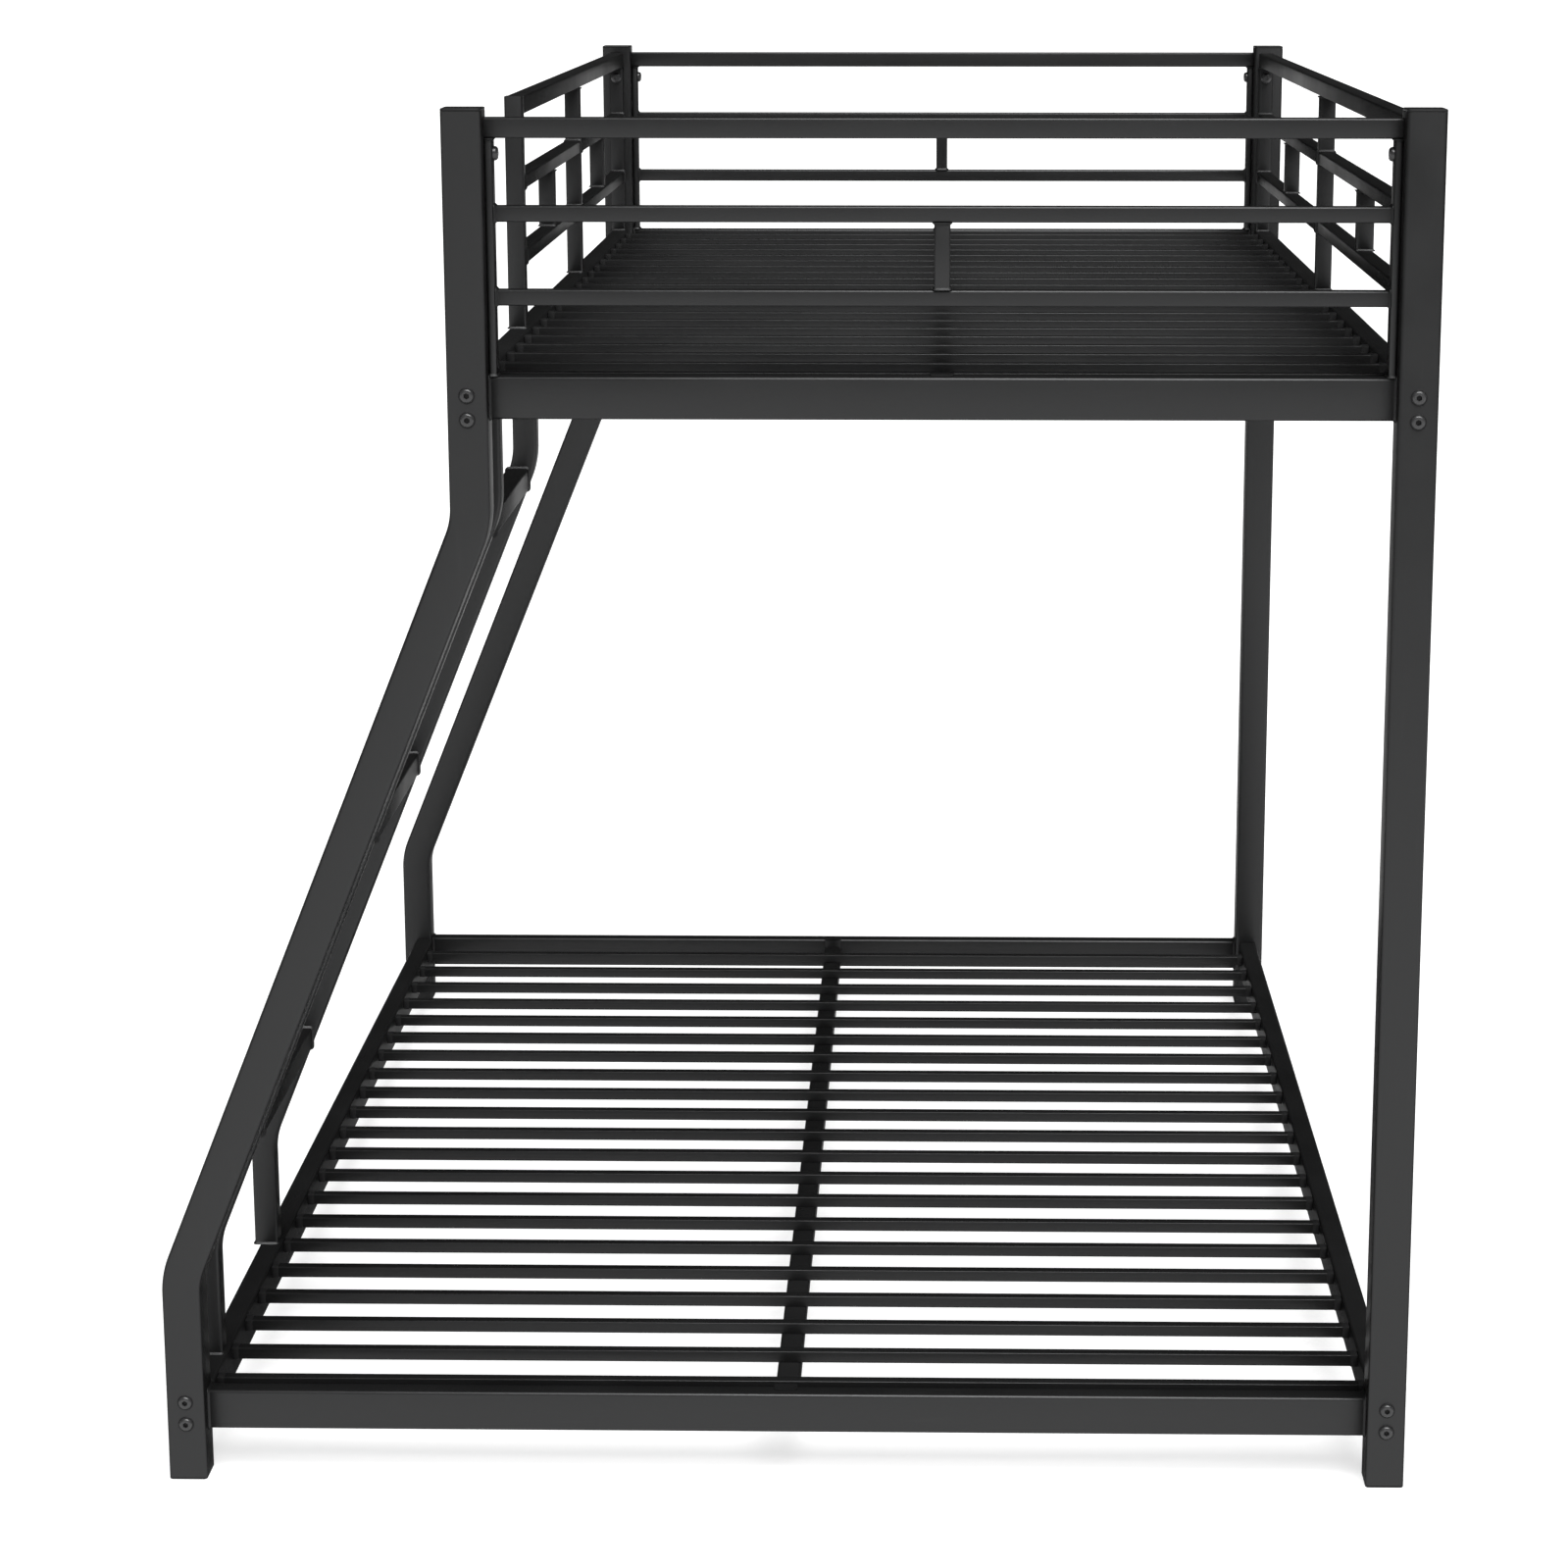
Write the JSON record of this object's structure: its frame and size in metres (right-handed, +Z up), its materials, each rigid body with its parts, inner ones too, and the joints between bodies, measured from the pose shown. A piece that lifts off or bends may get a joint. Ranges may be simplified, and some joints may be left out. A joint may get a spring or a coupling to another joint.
{
  "type": "bunk bed",
  "caption": "Steel-tube bunk bed with a wide lower deck, a narrower upper deck with guard rails, slatted decks, and a ladder built into its sloping side.",
  "frame": {"origin": "on the floor, under the middle of the bed's overall box", "axes": "+Z up; +Y along the bed's length, from the near end frame to the far one, and the ladder stands towards -Y; +X across the bed, from the sloping side with the ladder to the straight posts"},
  "size_m": [1.462, 1.995, 1.609],
  "materials": {
    "steel": "satin black powder coat with a very fine orange-peel texture",
    "plastic": "black moulded plastic with a fine grain"
  },
  "bodies": {
    "root": {"cap_far_left": "plastic", "cap_far_right": "plastic", "cap_near_left": "plastic", "cap_near_right": "plastic", "crossbar_far_lower": "steel", "crossbar_far_upper": "steel", "crossbar_near_lower": "steel", "crossbar_near_upper": "steel", "foot_far_left": "plastic", "foot_far_right": "plastic", "foot_near_left": "plastic", "foot_near_right": "plastic", "guard_far_centre_upright": "steel", "guard_far_left_upright": "steel", "guard_far_low_rail": "steel", "guard_far_mid_rail": "steel", "guard_far_right_upright": "steel", "guard_far_top_rail": "steel", "guard_left_far_upright": "steel", "guard_left_gate_upright": "steel", "guard_left_low_rail_far": "steel", "guard_left_low_rail_near": "steel", "guard_left_mid_rail_far": "steel", "guard_left_mid_rail_near": "steel", "guard_left_middle_upright": "steel", "guard_left_short_upright_far": "steel", "guard_left_short_upright_near": "steel", "guard_left_top_rail": "steel", "guard_near_centre_upright": "steel", "guard_near_left_upright": "steel", "guard_near_low_rail": "steel", "guard_near_mid_rail": "steel", "guard_near_right_upright": "steel", "guard_near_top_rail": "steel", "guard_right_far_upright": "steel", "guard_right_low_rail_far": "steel", "guard_right_low_rail_near": "steel", "guard_right_mid_rail_far": "steel", "guard_right_mid_rail_near": "steel", "guard_right_middle_upright": "steel", "guard_right_near_upright": "steel", "guard_right_short_upright_far": "steel", "guard_right_short_upright_near": "steel", "guard_right_top_rail": "steel", "ladder_rung_1": "steel", "ladder_rung_2": "steel", "ladder_rung_3": "steel", "ladder_stile_far": "steel", "ladder_stile_near": "steel", "post_far_left": "steel", "post_far_right": "steel", "post_near_left": "steel", "post_near_right": "steel", "rail_lower_left": "steel", "rail_lower_right": "steel", "rail_upper_left": "steel", "rail_upper_right": "steel", "slats_lower": "steel", "slats_upper": "steel"}
  },
  "joints": []
}
